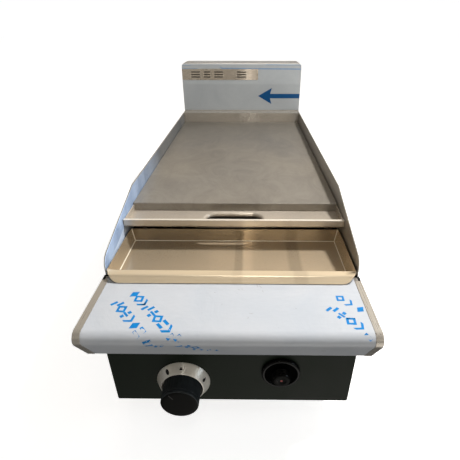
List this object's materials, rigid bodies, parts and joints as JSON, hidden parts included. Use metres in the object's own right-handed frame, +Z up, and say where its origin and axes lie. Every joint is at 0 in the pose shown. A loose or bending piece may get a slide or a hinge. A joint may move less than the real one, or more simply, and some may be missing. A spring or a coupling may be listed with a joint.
{
  "type": "flat top griddle",
  "caption": "Narrow bench-top gas griddle: steel plate between side guards, drained trough, lift-out grease tray, bullnose rail, flue splashback, knob and push igniter.",
  "frame": {"origin": "middle of the overall box, on the surface that the feet stand on", "axes": "+X to the cook's right, +Y from the control panel to the splashback, +Z up"},
  "size_m": [0.3, 0.8, 0.386],
  "materials": {
    "casing_steel": "satin brushed stainless sheet",
    "satin_steel": "polished and satin stainless sheet",
    "dark_panel": "satin charcoal enamel",
    "ground_steel": "ground mild steel with fine cross marks",
    "protective_film": "pale blue-white peel-off film",
    "burner_steel": "dull oxidised steel",
    "bright_steel": "zinc plated",
    "bezel_steel": "spun finish with black marks",
    "brass": "machined",
    "copper": "drawn copper tube",
    "black_plastic": "satin moulded",
    "black_rubber": "matt",
    "red_silicone": "soft sleeve",
    "white_ceramic": "glazed ceramic"
  },
  "bodies": {
    "chassis": {"base_pan": "casing_steel", "side_panel_left": "dark_panel", "side_panel_right": "dark_panel", "rear_panel": "casing_steel", "control_panel": "dark_panel", "front_rail": "casing_steel", "rail_end_cap_left": "satin_steel", "rail_end_cap_right": "satin_steel", "rail_film": "protective_film", "corner_seals": "black_rubber", "tray_runners": "casing_steel", "grease_trough": "satin_steel", "drain_chute": "casing_steel", "rear_screws": "casing_steel", "griddle_plate": "ground_steel", "guard_left": "satin_steel", "guard_right": "satin_steel", "guard_film": "protective_film", "rear_upstand": "casing_steel", "splashback_panel": "casing_steel", "splashback_back": "casing_steel", "splashback_film": "protective_film", "badge_plate": "satin_steel", "flue_grille": "dark_panel", "firewall": "casing_steel", "plate_bearer_left": "casing_steel", "plate_bearer_right": "casing_steel", "plate_bearer_rear": "casing_steel", "heat_shields": "casing_steel", "combustion_floor": "casing_steel", "flue_baffle": "casing_steel", "burner_tube": "burner_steel", "burner_venturi": "burner_steel", "injector": "brass", "injector_bracket": "casing_steel", "burner_bracket": "casing_steel", "pilot_burner": "burner_steel", "pilot_tube": "copper", "thermocouple": "copper", "thermocouple_lead": "copper", "spark_electrode": "white_ceramic", "ignition_lead": "red_silicone", "igniter_body": "black_plastic", "igniter_bezel": "black_plastic", "gas_valve": "brass", "knob_bezel": "bezel_steel", "supply_pipe": "burner_steel", "feed_pipe": "copper", "gas_inlet": "brass", "foot_bushes": "bright_steel"},
    "grease_tray": {"grease_tray": "satin_steel"},
    "tap_plug": {"valve_plug": "bright_steel"},
    "knob": {"knob": "black_plastic", "valve_spindle": "bright_steel"},
    "igniter_button": {"igniter_button": "black_plastic"},
    "air_shutter": {"air_shutter": "bright_steel"},
    "foot_front_left": {"foot_front_left": "bright_steel"},
    "foot_front_right": {"foot_front_right": "bright_steel"},
    "foot_rear_left": {"foot_rear_left": "bright_steel"},
    "foot_rear_right": {"foot_rear_right": "bright_steel"}
  },
  "joints": [
    {"name": "tray_lift_out", "type": "slide", "parent": "chassis", "child": "grease_tray", "axis": [0, -0.866, 0.5], "range_m": [0, 0.24]},
    {"name": "knob_turn", "type": "hinge", "parent": "chassis", "child": "tap_plug", "pos_m": [-0.06, -0.322, 0.086], "axis": [0, 1, 0], "range_deg": [0, 180]},
    {"name": "knob_push", "type": "slide", "parent": "tap_plug", "child": "knob", "axis": [0, 1, 0], "range_m": [0, 0.0035], "stiffness_N_per_m": 900, "springref_m": -0.004},
    {"name": "igniter_push", "type": "slide", "parent": "chassis", "child": "igniter_button", "axis": [0, 1, 0], "range_m": [0, 0.008], "stiffness_N_per_m": 1200, "springref_m": -0.003},
    {"name": "air_shutter_turn", "type": "hinge", "parent": "chassis", "child": "air_shutter", "pos_m": [-0.06, -0.236, 0.16], "axis": [0, 1, 0], "range_deg": [0, 40]},
    {"name": "foot_front_left_height", "type": "slide", "parent": "chassis", "child": "foot_front_left", "axis": [0, 0, -1], "range_m": [0, 0.015]},
    {"name": "foot_front_right_height", "type": "slide", "parent": "chassis", "child": "foot_front_right", "axis": [0, 0, -1], "range_m": [0, 0.015]},
    {"name": "foot_rear_left_height", "type": "slide", "parent": "chassis", "child": "foot_rear_left", "axis": [0, 0, -1], "range_m": [0, 0.015]},
    {"name": "foot_rear_right_height", "type": "slide", "parent": "chassis", "child": "foot_rear_right", "axis": [0, 0, -1], "range_m": [0, 0.015]}
  ]
}
